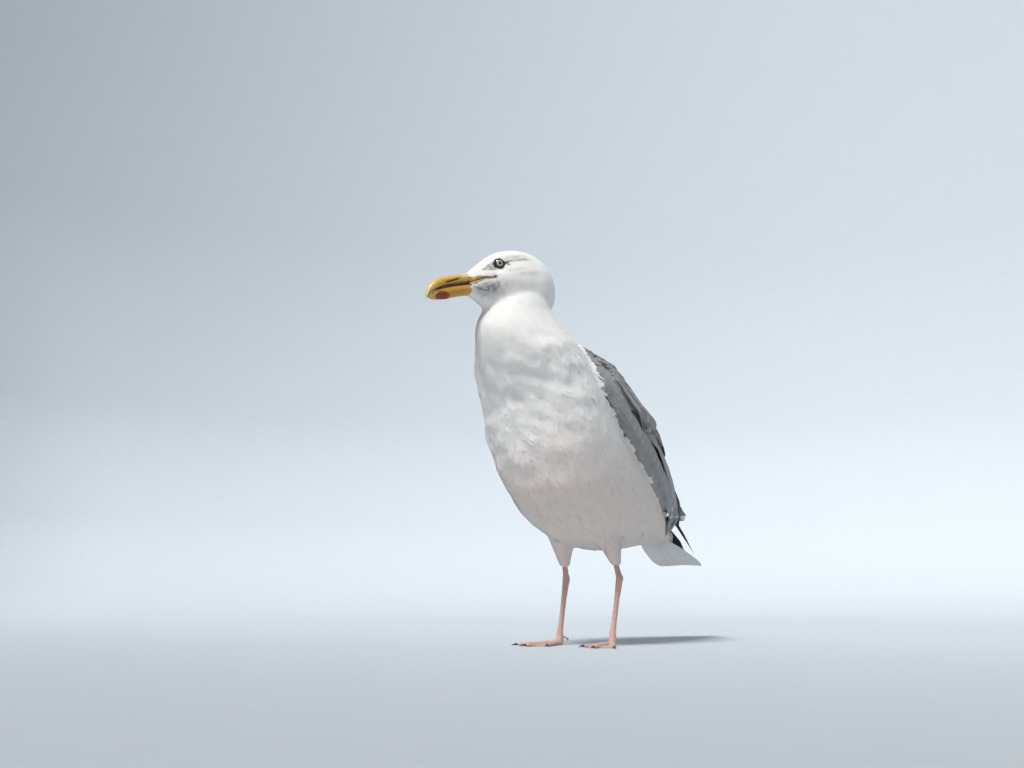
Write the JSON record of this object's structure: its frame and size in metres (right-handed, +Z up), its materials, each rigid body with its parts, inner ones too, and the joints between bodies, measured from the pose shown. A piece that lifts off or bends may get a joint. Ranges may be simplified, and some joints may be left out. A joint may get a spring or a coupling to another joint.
{
  "type": "seagull",
  "caption": "Adult herring gull standing on both webbed feet with its head turned to its right; a still, life-size model.",
  "frame": {"origin": "on the floor, under the middle of the bird's box", "axes": "+Z up, the bird faces -Y and its left side is +X"},
  "size_m": [0.153, 0.518, 0.3978],
  "materials": {
    "plumage_white": "matte white feathers",
    "plumage_grey": "matte blue-grey feathers",
    "plumage_black": "satin black feathers with white tips",
    "bill": "waxy yellow horn with a red spot",
    "leg_skin": "scaled flesh-pink skin",
    "claw": "dark horn",
    "eye": "wet gloss over a pale iris"
  },
  "bodies": {
    "root": {"trunk": "plumage_white", "neck": "plumage_white", "head": "plumage_white", "upper_bill": "bill", "lower_bill": "bill", "eye_left": "eye", "eye_right": "eye", "tail": "plumage_white", "primaries_left": "plumage_black", "primaries_right": "plumage_black", "wing_left": "plumage_grey", "scapulars_left": "plumage_grey", "thigh_left": "plumage_white", "shank_left": "leg_skin", "foot_left": "leg_skin", "claw_inner_left": "claw", "claw_middle_left": "claw", "claw_outer_left": "claw", "wing_right": "plumage_grey", "scapulars_right": "plumage_grey", "thigh_right": "plumage_white", "shank_right": "leg_skin", "foot_right": "leg_skin", "claw_inner_right": "claw", "claw_middle_right": "claw", "claw_outer_right": "claw"}
  },
  "joints": []
}
